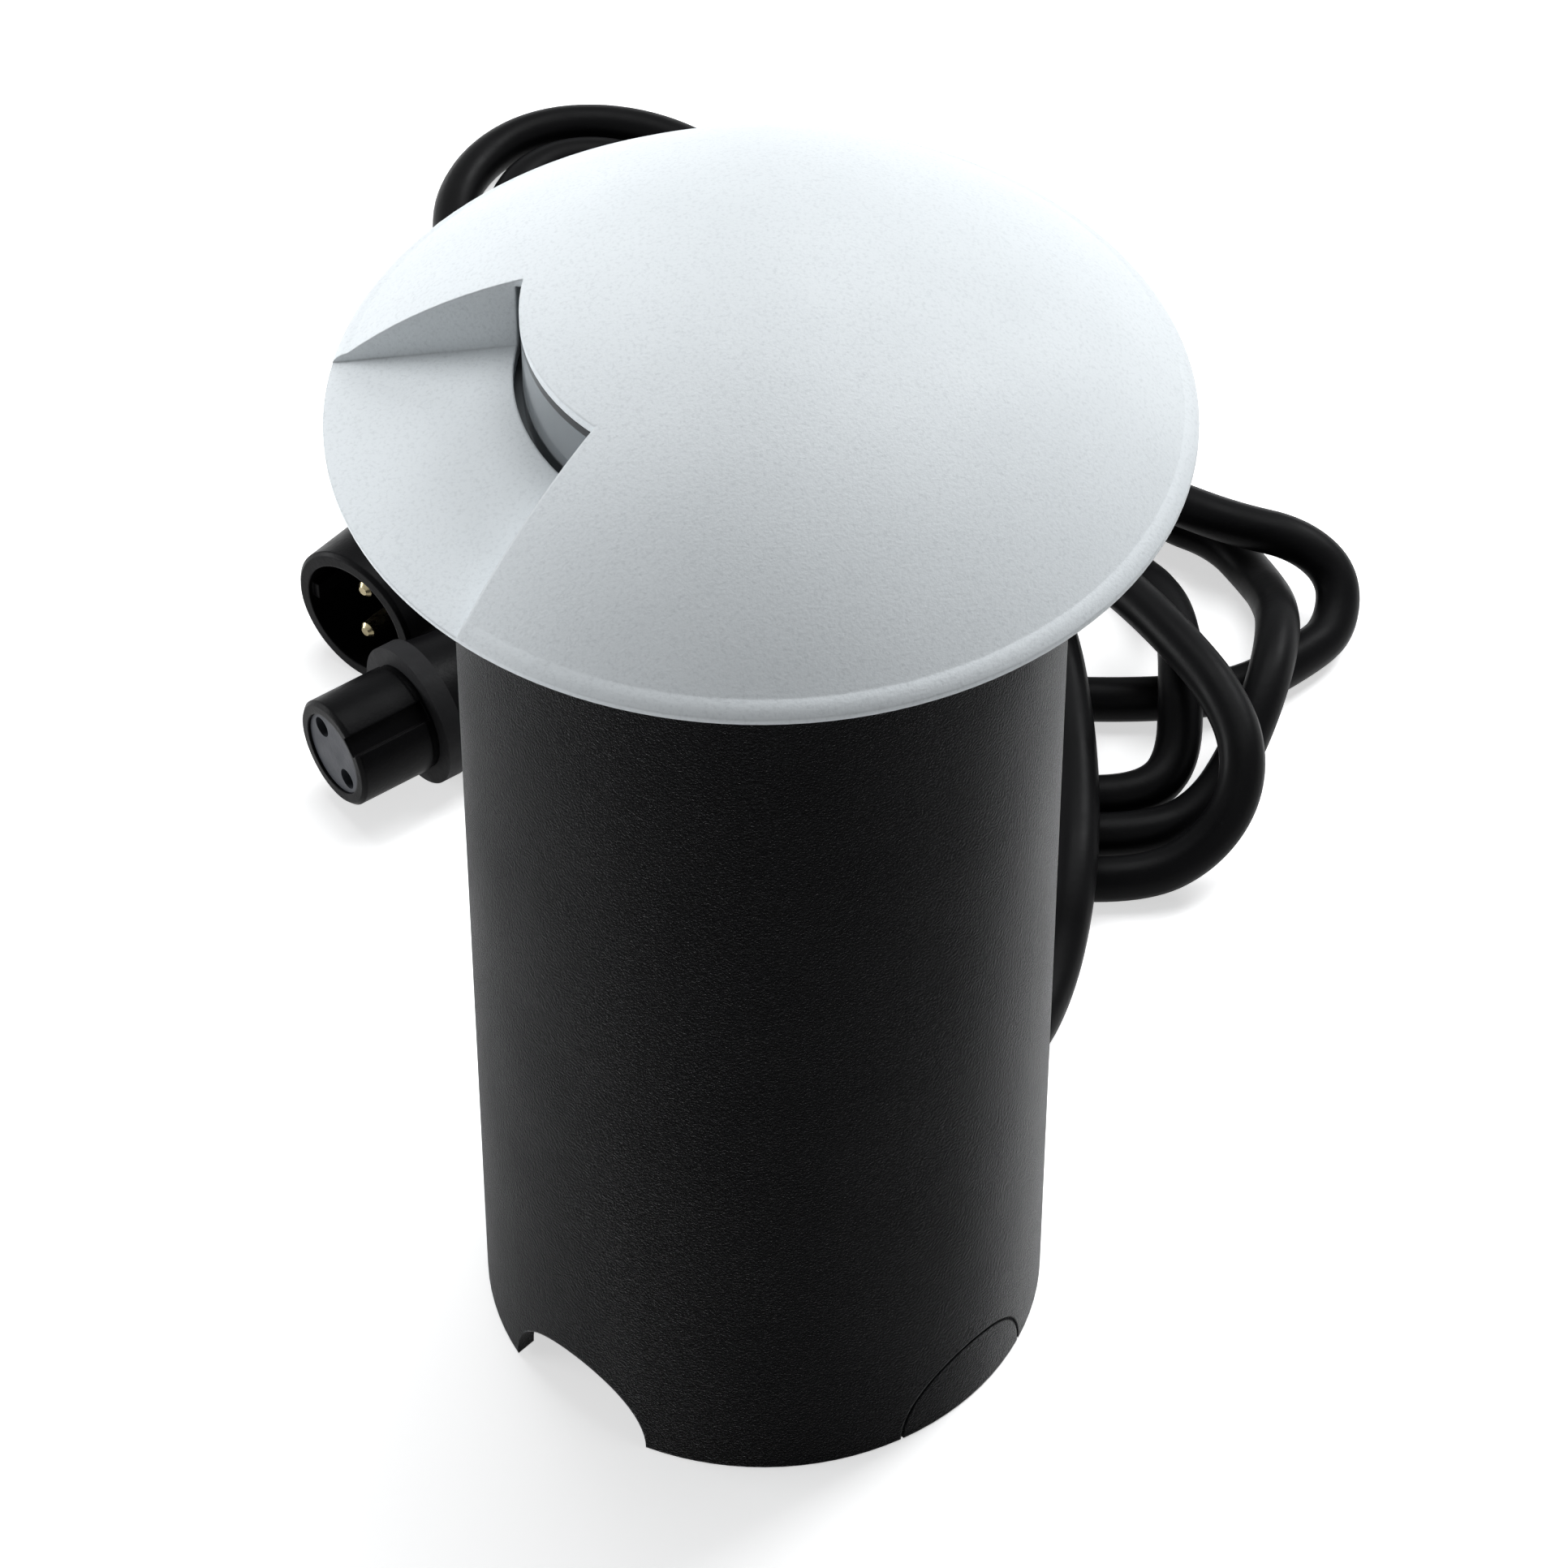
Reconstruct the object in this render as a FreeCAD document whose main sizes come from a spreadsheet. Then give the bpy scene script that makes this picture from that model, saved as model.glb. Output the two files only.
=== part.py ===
import FreeCAD, Part
import math
import os

import Sketcher
from FreeCAD import Placement, Rotation, Vector

# A small in-ground light: a domed cap with one side window on a lamp that drops into a
# mounting sleeve, with two leads that leave through a notch in the sleeve's foot.
# Origin: centre of the sleeve's foot, on the surface it stands on. +Z up, millimetres.

SIZES = {
    # mounting sleeve
    "sleeveRadius": 27.1,
    "sleeveWall": 2.0,
    "sleeveHeight": 111.0,
    "notchRadius": 8.5,
    "notchAzimuth": 47.0,
    "scoreDepth": 0.25,
    "scoreWidth": 0.3,
    # cap: heights count up from the underside of its rim, which sits on the sleeve
    "capRadius": 37.5,
    "capRise": 16.7,
    "rimBand": 0.5,
    "rollWidth": 1.3,
    "rollRise": 1.124,
    "capWall": 2.2,
    "coreEdge": 3.9,
    "coreMargin": 18.0,
    "windowAngle": 57.3,
    "windowAzimuth": 199.0,
    "crownEdge": 0.63,
    "windowLensGap": 0.1,
    "floorRise": 0.4,
    "floorSlope": 15.0,
    "skirtGap": 0.4,
    "skirtWall": 1.8,
    "skirtDepth": 8.0,
    "wellStep": 3.2,
    # clear drum under the cap
    "flangeGap": 0.7,
    "lensWall": 1.8,
    "lensTopGap": 0.2,
    "lensFootGap": 0.8,
    "lensFlangeWidth": 1.9,
    "lensFlangeThickness": 1.5,
    "gasketThickness": 0.8,
    # lamp housing
    "turnGap": 0.3,
    "neckRise": 0.6,
    "neckDepth": 11.0,
    "housingGap": 0.9,
    "housingWall": 3.4,
    "housingDepth": 61.0,
    "neckWall": 2.8,
    "spreaderLedge": 1.2,
    "spreaderDepth": 7.4,
    "driverDepth": 27.0,
    "seatGap": 0.2,
    # rings
    "snapWire": 0.5,
    "snapReach": 0.1,
    "snapDepth": 6.0,
    "capSealSection": 0.8,
    "capSealInset": 0.7,
    "capSealDepth": 2.5,
    "gripSection": 1.0,
    "gripInset": 0.4,
    "gripUpperDepth": 19.0,
    "gripLowerDepth": 49.0,
    # light source
    "spreaderThickness": 4.0,
    "boardInset": 1.8,
    "boardThickness": 1.6,
    "emitterSide": 3.0,
    "emitterHeight": 0.7,
    "emitterCircle": 10.0,
    "emitterTurn": 30.0,
    "reflectorGap": 0.3,
    "reflectorRim": 0.9,
    "reflectorTip": 2.5,
    "reflectorDrop": 8.5,
    "reflectorSweep": 18.0,
    "screwShank": 1.0,
    "screwHead": 1.9,
    "screwHeadHeight": 1.2,
    "screwGap": 0.1,
    "boardScrewCircle": 14.5,
    "wireRadius": 0.8,
    "wireWay": 2.6,
    "wireCircle": 13.0,
    # driver
    "driverGap": 0.3,
    "driverThickness": 1.6,
    "capacitorCircle": 13.4,
    "capacitorTurn": -32.0,
    "capacitorSpread": 148.0,
    "capacitorRadius": 4.0,
    "capacitorHeight": 12.0,
    "inductorRadius": 5.0,
    "inductorHeight": 8.0,
    "inductorWaist": 3.2,
    "inductorCircle": 10.7,
    "inductorTurn": 37.0,
    "rectifierLong": 7.0,
    "rectifierWide": 5.0,
    "rectifierHigh": 3.0,
    "rectifierCircle": 13.8,
    "rectifierTurn": 220.6,
    "clampRingHeight": 1.5,
    "clampRingWidth": 1.9,
    # bottom cover
    "coverGasket": 0.8,
    "coverThickness": 5.0,
    "spigotHeight": 3.0,
    "spigotGap": 0.3,
    "coverScrewInset": 1.8,
    "coverScrewTurn": 22.0,
    "coverScrewHead": 1.5,
    "coverScrewLength": 12.0,
    # cable glands
    "glandSpacing": 13.0,
    "glandSetback": 4.95,
    "glandHex": 5.6,
    "glandHexHeight": 2.5,
    "glandStem": 4.3,
    "glandStemDepth": 4.7,
    "glandUpperStem": 3.9,
    "glandNutRadius": 5.4,
    "glandNutHeight": 7.7,
    "glandNutLip": 3.0,
    "glandSealRadius": 3.25,
    "cableGap": 0.2,
    "tailLength": 26.0,
    "leadDrop": 16.0,
    # cable and the two-pole connectors
    "cableRadius": 2.4,
    "connectorBore": 6.6,
    "noseLength": 9.5,
    "noseSize": 6.0,
    "noseWall": 1.4,
    "noseRelief": 0.2,
    "reliefRun": 0.8,
    "pinRadius": 0.9,
    "pinOffset": 3.0,
    "pinSetback": 1.5,
    "pinHoleRadius": 1.15,
    "plugRadius": 8.2,
    "plugShroud": 12.0,
    "plugGrip": 12.0,
    "socketRadius": 7.8,
    "socketCollar": 2.2,
    "socketGrip": 13.8,
    "gripWaist": 6.9,
    "gripSweep": 30.0,
    "reliefLength": 12.0,
    "reliefRoot": 5.2,
    "reliefTip": 3.4,
    "keyWidth": 1.9,
    "keyDepth": 0.9,
    "socketRoll": 47.0,
}

# Centrelines of the two leads, from below the glands over the ground to the connectors.
OUTLET_ROUTE = [
    (9.5, 3.5, 2.4), (25.2, 22.2, 2.4), (29.9, 33.5, 2.4), (32.2, 45, 8.2), (32.6, 62, 7.95),
    (31.2, 79, 7.95), (27.5, 91.5, 5), (17.5, 98.5, 2.4), (7.5, 93.5, 2.4), (5, 80, 2.4),
    (9.5, 67, 2.4), (20, 60.3, 2.4), (30, 59.1, 2.4), (39.7, 59.2, 2.4), (43.6, 63, 3.6),
    (44, 70.5, 8), (44.2, 77.5, 8.1), (42.9, 85.3, 6.4), (39.8, 93, 2.6), (31, 105.5, 2.4),
    (18.5, 122, 2.4), (5, 140, 2.4), (-6.2, 154.4, 2.4), (-15.8, 162.7, 2.4),
    (-24.4, 162.2, 2.4), (-29.8, 154.6, 2.4), (-28.4, 140, 2.4), (-18.5, 124.5, 2.4),
    (-7.5, 110.5, 2.4), (-1.8, 95, 2.4), (-0.8, 78.5, 2.4), (4.5, 62.8, 2.4), (15.5, 54.2, 2.4),
    (29, 53.7, 2.4), (40.2, 53.7, 2.4), (46, 57.2, 2.4), (50.1, 63.8, 4), (53.2, 70.6, 7.8),
    (54.8, 78.5, 8.1), (54.8, 85.8, 5), (53.2, 92.3, 2.5), (49.8, 98.2, 2.4),
    (43.4, 101.6, 2.4), (36, 111.5, 2.4), (24, 128.5, 2.4), (9.5, 147, 2.4), (-2.5, 160, 2.4),
    (-14.2, 168.6, 2.4), (-27.6, 167.9, 2.4), (-35.8, 156.5, 2.4), (-34.2, 140.5, 2.4),
    (-26.3, 125.5, 2.4), (-15, 110.5, 2.4), (-8.5, 95, 2.4), (-7.4, 77, 2.4), (-1.4, 58.8, 2.4),
    (11.5, 48.6, 2.4), (28, 47.6, 2.4), (39.5, 47.3, 2.4), (45.4, 49.3, 4.6), (49.2, 53.2, 8),
    (49.8, 58.6, 11.2), (47.4, 64.8, 13), (43.2, 71.8, 13.4), (38.6, 79.2, 12.9),
    (32.5, 87, 12.2), (25, 92.8, 10.4), (15, 96, 8.2), (5.5, 95.4, 8), (-3.4, 90.3, 8),
    (-14.3, 82.4, 8),
]
INLET_ROUTE = [
    (2.3, 11.2, 2.4), (16.5, 23, 2.4), (19.2, 34.5, 2.4), (17.8, 46, 8.2), (17, 60.5, 8.7),
    (20.3, 69.6, 5.2), (29, 73.8, 2.4), (41, 73.5, 2.4), (50.5, 74.7, 2.4), (57.5, 79.9, 2.4),
    (61.4, 84, 2.4), (62.1, 89.4, 5.2), (57.8, 92.2, 8.1), (50.8, 94.4, 8.2), (43.5, 98.6, 8.1),
    (35, 103.8, 8.1), (23.5, 110, 7.7), (10, 116, 3.4), (0, 120.5, 6.2), (-11, 117.5, 8.3),
    (-19.7, 107.4, 8.3),
]
ARC_SHARE = 0.45

doc = FreeCAD.newDocument("WellLight")
sheet = doc.addObject("Spreadsheet::Sheet", "Sizes")
for row, (alias, size) in enumerate(SIZES.items(), start=1):
    sheet.set(f"A{row}", alias)
    sheet.set(f"B{row}", str(size))
    sheet.setAlias(f"B{row}", alias)
doc.recompute()

nodes = []

# Levels and radii that several pieces share, as expressions on the sheet.
SLEEVE_BORE = "(Sizes.sleeveRadius - Sizes.sleeveWall)"
RIM = "Sizes.sleeveHeight"
SAG = "(Sizes.capRise - Sizes.rimBand - Sizes.rollRise)"
DOME_REACH = "(Sizes.capRadius - Sizes.rollWidth)"
DOME = f"(({DOME_REACH}^2 + {SAG}^2) / (2 * {SAG}))"
DOME_CENTRE = f"({RIM} + Sizes.capRise - {DOME})"
# The rim's rolled edge is a shallow arc, drawn with 1.5 times its chord as radius.
ROLL = "(1.5 * sqrt(Sizes.rollWidth^2 + Sizes.rollRise^2))"
SKIRT = f"({SLEEVE_BORE} - Sizes.skirtGap)"
SKIRT_BORE = f"({SKIRT} - Sizes.skirtWall)"
LENS = f"({SKIRT_BORE} - Sizes.flangeGap - Sizes.lensFlangeWidth)"
WELL = f"({LENS} + Sizes.lensFootGap)"
CEILING = f"({DOME_CENTRE} + sqrt({DOME}^2 - {WELL}^2) - Sizes.crownEdge)"
NECK = f"({SKIRT_BORE} - Sizes.turnGap)"
SPREADER_BORE = f"({NECK} - Sizes.neckWall)"
SNAP_CENTRE = f"({NECK} + Sizes.snapReach)"
SNAP_LEVEL = f"({RIM} - Sizes.snapDepth)"
CAP_SEAL_CENTRE = f"({NECK} - Sizes.capSealInset)"
CAP_SEAL_LEVEL = f"({RIM} - Sizes.capSealDepth)"
NECK_TOP = f"({RIM} + Sizes.neckRise)"
NECK_FOOT = f"({RIM} - Sizes.neckDepth)"
LENS_FOOT = f"({NECK_TOP} + Sizes.gasketThickness)"
LENS_TOP = f"({CEILING} - Sizes.lensTopGap)"
LENS_CEILING = f"({LENS_TOP} - Sizes.lensWall)"
HOUSING_FOOT = f"({RIM} - Sizes.housingDepth)"
HOUSING = f"({SLEEVE_BORE} - Sizes.housingGap)"
HOUSING_BORE = f"({HOUSING} - Sizes.housingWall)"
GRIP_CENTRE = f"({HOUSING} - Sizes.gripInset)"
GRIP_LEVELS = [f"({RIM} - Sizes.gripLowerDepth)", f"({RIM} - Sizes.gripUpperDepth)"]
SPREADER_LEVEL = f"({RIM} - Sizes.spreaderDepth)"
BOARD_FOOT = f"({SPREADER_LEVEL} + Sizes.spreaderThickness)"
BOARD_TOP = f"({BOARD_FOOT} + Sizes.boardThickness)"
DRIVER_LEVEL = f"({RIM} - Sizes.driverDepth)"
DRIVER_FOOT = f"({DRIVER_LEVEL} - Sizes.driverThickness)"
COVER_TOP = f"({HOUSING_FOOT} - Sizes.coverGasket)"
COVER_FOOT = f"({COVER_TOP} - Sizes.coverThickness)"
HEX_FOOT = f"({COVER_FOOT} - Sizes.glandHexHeight)"
NUT_FOOT = f"({HEX_FOOT} - Sizes.glandNutHeight)"
# The glands stand side by side, set back from the middle towards -X -Y.
BACK = "Sizes.glandSetback * sqrt(0.5)"
ASIDE = "Sizes.glandSpacing * sqrt(0.125)"
GLANDS = [
    (f"({ASIDE} - {BACK})", f"-({ASIDE} + {BACK})"),
    (f"-({ASIDE} + {BACK})", f"({ASIDE} - {BACK})"),
]


def value(expression):
    return float(sheet.evalExpression(expression))


def new_body(name):
    body = doc.addObject("PartDesign::Body", name)
    body.Label = name
    nodes.append(body)
    return body


def new_sketch(body, name, role, rise=None):
    sketch = body.newObject("Sketcher::SketchObject", name)
    plane = next(item for item in body.Origin.OriginFeatures if item.Role == role)
    sketch.AttachmentSupport = [(plane, "")]
    sketch.MapMode = "FlatFace"
    if rise:
        sketch.setExpression("AttachmentOffset.Base.z", rise)
    return sketch


def hold(sketch, kind, geometry, point, expression):
    """Ties one coordinate of a sketch point to an expression."""
    size = value(expression)
    if abs(size) < 1e-9:
        axis = -2 if kind == "DistanceX" else -1
        sketch.addConstraint(Sketcher.Constraint("PointOnObject", geometry, point, axis))
        return
    if size > 0:
        constraint = Sketcher.Constraint(kind, -1, 1, geometry, point, size)
    else:
        constraint = Sketcher.Constraint(kind, geometry, point, -1, 1, -size)
        expression = f"-({expression})"
    index = sketch.addConstraint(constraint)
    sketch.setExpression(f"Constraints[{index}]", expression)


def arc_edge(start, end, radius):
    """An arc between two points; its centre lies left of the way, or right if minus."""
    chord = end - start
    across = Vector(-chord.y, chord.x, 0).normalize()
    rise = math.sqrt(radius**2 - (chord.Length / 2) ** 2)
    centre = start + chord * 0.5 + across * math.copysign(rise, radius)
    first, last = (start, end) if radius > 0 else (end, start)
    angles = [math.atan2(spot.y - centre.y, spot.x - centre.x) for spot in (first, last)]
    circle = Part.Circle(centre, Vector(0, 0, 1), abs(radius))
    return Part.ArcOfCircle(circle, angles[0], angles[1])


def draw_outline(sketch, corners, arcs=None):
    """A closed outline through corners given as pairs of expressions.

    arcs holds, by the number of the corner that a stretch starts from, the
    expression of its radius, with a minus sign where it bulges to the left.
    """
    arcs = arcs or {}
    places = [Vector(value(x), value(y), 0) for x, y in corners]
    ends = []
    for number, start in enumerate(places):
        end = places[(number + 1) % len(places)]
        if number in arcs:
            radius = value(arcs[number])
            shape = arc_edge(start, end, radius)
            geometry = sketch.addGeometry(shape, False)
            forwards = radius > 0
            ends.append((geometry, 1 if forwards else 2, 2 if forwards else 1))
            size = arcs[number].lstrip("-")
            index = sketch.addConstraint(Sketcher.Constraint("Radius", geometry, abs(radius)))
            sketch.setExpression(f"Constraints[{index}]", size)
        else:
            geometry = sketch.addGeometry(Part.LineSegment(start, end), False)
            ends.append((geometry, 1, 2))
    for number, (geometry, first, last) in enumerate(ends):
        follower, follower_first, _ = ends[(number + 1) % len(ends)]
        join = Sketcher.Constraint("Coincident", geometry, last, follower, follower_first)
        sketch.addConstraint(join)
    for (geometry, first, _), (x, y) in zip(ends, corners):
        hold(sketch, "DistanceX", geometry, first, x)
        hold(sketch, "DistanceY", geometry, first, y)


def draw_circle(sketch, x, y, radius):
    centre = Vector(value(x), value(y), 0)
    circle = Part.Circle(centre, Vector(0, 0, 1), value(radius))
    geometry = sketch.addGeometry(circle, False)
    index = sketch.addConstraint(Sketcher.Constraint("Radius", geometry, value(radius)))
    sketch.setExpression(f"Constraints[{index}]", radius)
    hold(sketch, "DistanceX", geometry, 3, x)
    hold(sketch, "DistanceY", geometry, 3, y)


def turn(body, name, corners, arcs=None, kind="Revolution", angle=None, behind=False):
    """A feature turned about Z from an outline in the XZ plane.

    angle makes it a sector, centred on +X, or on -X when behind is set.
    """
    sketch = new_sketch(body, name + "Outline", "XZ_Plane")
    if behind:
        sketch.AttachmentOffset = Placement(Vector(), Rotation(Vector(0, 1, 0), 180))
    draw_outline(sketch, corners, arcs)
    feature = body.newObject("PartDesign::" + kind, name)
    feature.Profile = sketch
    feature.ReferenceAxis = (sketch, ["V_Axis"])
    feature.Angle = 360
    if angle:
        feature.Midplane = True
        feature.setExpression("Angle", angle)
    return feature


def turned_body(name, corners, arcs=None):
    body = new_body(name)
    turn(body, name + "Turned", corners, arcs)
    return body


def ring_corners(inner, outer, low, high):
    return [(inner, low), (outer, low), (outer, high), (inner, high)]


def at_angle(radius, angle):
    return f"{radius} * cos(({angle}) * 1deg)", f"{radius} * sin(({angle}) * 1deg)"


def around(radius, count, start="0"):
    """Centres evenly spaced on a circle, as pairs of expressions."""
    return [at_angle(radius, f"{start} + {360 / count * number}") for number in range(count)]


def pad(body, name, rise, length, corners=None, circles=()):
    sketch = new_sketch(body, name + "Outline", "XY_Plane", rise)
    if corners:
        draw_outline(sketch, corners)
    for x, y, radius in circles:
        draw_circle(sketch, x, y, radius)
    feature = body.newObject("PartDesign::Pad", name)
    feature.Profile = sketch
    feature.setExpression("Length", length)
    return feature


def drill(body, name, circles, role="XY_Plane"):
    """Round holes right through the body, both ways from the plane."""
    sketch = new_sketch(body, name + "Outline", role)
    for x, y, radius in circles:
        draw_circle(sketch, x, y, radius)
    feature = body.newObject("PartDesign::Pocket", name)
    feature.Profile = sketch
    feature.Type = "ThroughAll"
    feature.SideType = "Symmetric"
    return feature


def sink(body, name, top, depth, corners=None, circles=()):
    """A pocket that goes down from a level."""
    sketch = new_sketch(body, name + "Outline", "XY_Plane", top)
    if corners:
        draw_outline(sketch, corners)
    for x, y, radius in circles:
        draw_circle(sketch, x, y, radius)
    feature = body.newObject("PartDesign::Pocket", name)
    feature.Profile = sketch
    feature.setExpression("Length", depth)
    return feature


def polar_pattern(body, name, feature, count):
    pattern = body.newObject("PartDesign::PolarPattern", name)
    pattern.Originals = [feature]
    axis = next(item for item in body.Origin.OriginFeatures if item.Role == "Z_Axis")
    pattern.Axis = (axis, [""])
    pattern.Angle = 360
    pattern.setExpression("Occurrences", count)
    body.Tip = pattern


def group(name, pieces):
    """Several separate solids that share one node."""
    compound = doc.addObject("Part::Compound", name)
    compound.Label = name
    compound.Links = pieces
    for piece in pieces:
        if piece in nodes:
            nodes.remove(piece)
    nodes.append(compound)
    return compound


def place(item, x="0", y="0", z="0"):
    for axis, expression in zip("xyz", (x, y, z)):
        item.setExpression(f"Placement.Base.{axis}", expression)


def cylinder(name, radius, height, x="0", y="0", z="0"):
    item = doc.addObject("Part::Cylinder", name)
    item.Label = name
    item.setExpression("Radius", radius)
    item.setExpression("Height", height)
    place(item, x, y, z)
    nodes.append(item)
    return item


def round_ring(name, centre, section, level):
    item = doc.addObject("Part::Torus", name)
    item.Label = name
    item.setExpression("Radius1", centre)
    item.setExpression("Radius2", section)
    place(item, z=level)
    nodes.append(item)
    return item


def mounting_sleeve():
    body = new_body("mounting_sleeve")
    skin = "(Sizes.sleeveRadius - Sizes.scoreDepth)"
    turn(body, "SleeveSkin", ring_corners(skin, "Sizes.sleeveRadius", "0", RIM))
    # Scored half-rounds mark two spare cable ways that can be knocked out.
    line = [("0", "0", "Sizes.notchRadius"), ("0", "0", "Sizes.notchRadius - Sizes.scoreWidth")]
    drill(body, "ScoredLine", line, "XZ_Plane")
    turn(body, "SleeveWall", ring_corners(SLEEVE_BORE, skin, "0", RIM))
    # Two open half-round notches, across from each other.
    drill(body, "CableNotch", [("0", "0", "Sizes.notchRadius")], "YZ_Plane")
    body.setExpression("Placement.Rotation.Angle", "Sizes.notchAzimuth")


def cap():
    body = new_body("cap")
    skirt_foot = f"{RIM} - Sizes.skirtDepth"
    step = f"{RIM} + Sizes.wellStep"
    inner_dome = f"({DOME} - Sizes.capWall)"
    crown_reach = f"sqrt({inner_dome}^2 - ({CEILING} - {DOME_CENTRE})^2)"
    groove_low = f"{SNAP_LEVEL} - 1.7 * Sizes.snapWire"
    groove_high = f"{SNAP_LEVEL} + 1.7 * Sizes.snapWire"
    groove = f"{SNAP_CENTRE} + 1.7 * Sizes.snapWire"
    corners = [
        (SKIRT, RIM),
        ("Sizes.capRadius", RIM),
        ("Sizes.capRadius", f"{RIM} + Sizes.rimBand"),
        (DOME_REACH, f"{RIM} + Sizes.rimBand + Sizes.rollRise"),
        ("0", f"{RIM} + Sizes.capRise"),
        ("0", f"{DOME_CENTRE} + {inner_dome}"),
        (crown_reach, CEILING),
        (WELL, CEILING),
        (WELL, step),
        (SKIRT_BORE, step),
        (SKIRT_BORE, groove_high),
        (groove, groove_high),
        (groove, groove_low),
        (SKIRT_BORE, groove_low),
        (SKIRT_BORE, skirt_foot),
        (SKIRT, skirt_foot),
    ]
    arcs = {2: ROLL, 3: DOME, 5: "-" + inner_dome}
    turn(body, "CapShell", corners, arcs)
    cap_window(body)
    # The casting is cored out from below, but not under the window.
    core_inner = f"({SKIRT} + Sizes.coreEdge)"
    core_outer = "(Sizes.capRadius - Sizes.coreEdge)"
    core = [
        (core_inner, f"{RIM} - 1"),
        (core_outer, f"{RIM} - 1"),
        (core_outer, f"{DOME_CENTRE} + sqrt({inner_dome}^2 - {core_outer}^2)"),
        (core_inner, f"{DOME_CENTRE} + sqrt({inner_dome}^2 - {core_inner}^2)"),
    ]
    span = "360 - Sizes.windowAngle - Sizes.coreMargin"
    turn(body, "Coring", core, kind="Groove", angle=span, behind=True)
    body.setExpression("Placement.Rotation.Angle", "Sizes.windowAzimuth")


def cap_window(body):
    """A sector between two upright walls, over a floor that falls outwards."""
    inner = f"({LENS} + Sizes.windowLensGap)"
    reach = "(Sizes.capRadius + 2)"
    fall = "tan(Sizes.floorSlope * 1deg)"
    above = f"{RIM} + Sizes.capRise + 2"
    level = f"{RIM} + Sizes.floorRise + Sizes.capRadius * {fall}"
    corners = [
        (inner, f"{level} - {inner} * {fall}"),
        (reach, f"{level} - {reach} * {fall}"),
        (reach, above),
        (inner, above),
    ]
    turn(body, "Window", corners, kind="Groove", angle="Sizes.windowAngle")


def clear_lens():
    inner = f"({LENS} - Sizes.lensWall)"
    flange = f"{LENS} + Sizes.lensFlangeWidth"
    flange_top = f"{LENS_FOOT} + Sizes.lensFlangeThickness"
    corners = [
        (inner, LENS_FOOT),
        (flange, LENS_FOOT),
        (flange, flange_top),
        (LENS, flange_top),
        (LENS, LENS_TOP),
        ("0", LENS_TOP),
        ("0", f"{LENS_TOP} - Sizes.lensWall"),
        (inner, f"{LENS_TOP} - Sizes.lensWall"),
    ]
    turned_body("clear_lens", corners)
    turned_body("lens_gasket", ring_corners(SPREADER_BORE, flange, NECK_TOP, LENS_FOOT))


def lamp_housing():
    groove = f"{GRIP_CENTRE} - Sizes.gripSection"
    low, high = GRIP_LEVELS
    half = "1.2 * Sizes.gripSection"
    seal_groove = f"{CAP_SEAL_CENTRE} - Sizes.capSealSection"
    seal_half = "1.25 * Sizes.capSealSection"
    snap_groove = f"{SNAP_CENTRE} - Sizes.snapWire"
    snap_half = "1.1 * Sizes.snapWire"
    mid_bore = f"({SPREADER_BORE} - Sizes.spreaderLedge)"
    corners = [
        (HOUSING_BORE, HOUSING_FOOT),
        (HOUSING, HOUSING_FOOT),
        (HOUSING, f"{low} - {half}"),
        (groove, f"{low} - {half}"),
        (groove, f"{low} + {half}"),
        (HOUSING, f"{low} + {half}"),
        (HOUSING, f"{high} - {half}"),
        (groove, f"{high} - {half}"),
        (groove, f"{high} + {half}"),
        (HOUSING, f"{high} + {half}"),
        (HOUSING, NECK_FOOT),
        (NECK, NECK_FOOT),
        (NECK, f"{SNAP_LEVEL} - {snap_half}"),
        (snap_groove, f"{SNAP_LEVEL} - {snap_half}"),
        (snap_groove, f"{SNAP_LEVEL} + {snap_half}"),
        (NECK, f"{SNAP_LEVEL} + {snap_half}"),
        (NECK, f"{CAP_SEAL_LEVEL} - {seal_half}"),
        (seal_groove, f"{CAP_SEAL_LEVEL} - {seal_half}"),
        (seal_groove, f"{CAP_SEAL_LEVEL} + {seal_half}"),
        (NECK, f"{CAP_SEAL_LEVEL} + {seal_half}"),
        (NECK, NECK_TOP),
        (SPREADER_BORE, NECK_TOP),
        (SPREADER_BORE, SPREADER_LEVEL),
        (mid_bore, SPREADER_LEVEL),
        (mid_bore, DRIVER_LEVEL),
        (HOUSING_BORE, DRIVER_LEVEL),
    ]
    body = turned_body("lamp_housing", corners)
    holes = cover_holes("Sizes.screwShank + Sizes.screwGap")
    depth = "(Sizes.coverScrewLength - Sizes.coverThickness)"
    sink(body, "ScrewHoles", f"{HOUSING_FOOT} + {depth}", depth, circles=holes)
    round_ring("upper_grip_ring", GRIP_CENTRE, "Sizes.gripSection", high)
    round_ring("lower_grip_ring", GRIP_CENTRE, "Sizes.gripSection", low)
    round_ring("cap_o_ring", CAP_SEAL_CENTRE, "Sizes.capSealSection", CAP_SEAL_LEVEL)
    round_ring("cap_retaining_ring", SNAP_CENTRE, "Sizes.snapWire", SNAP_LEVEL)


def cover_spots():
    return around(f"({HOUSING} - Sizes.coverScrewInset)", 4, "Sizes.coverScrewTurn")


def cover_holes(radius):
    return [(x, y, radius) for x, y in cover_spots()]


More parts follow.
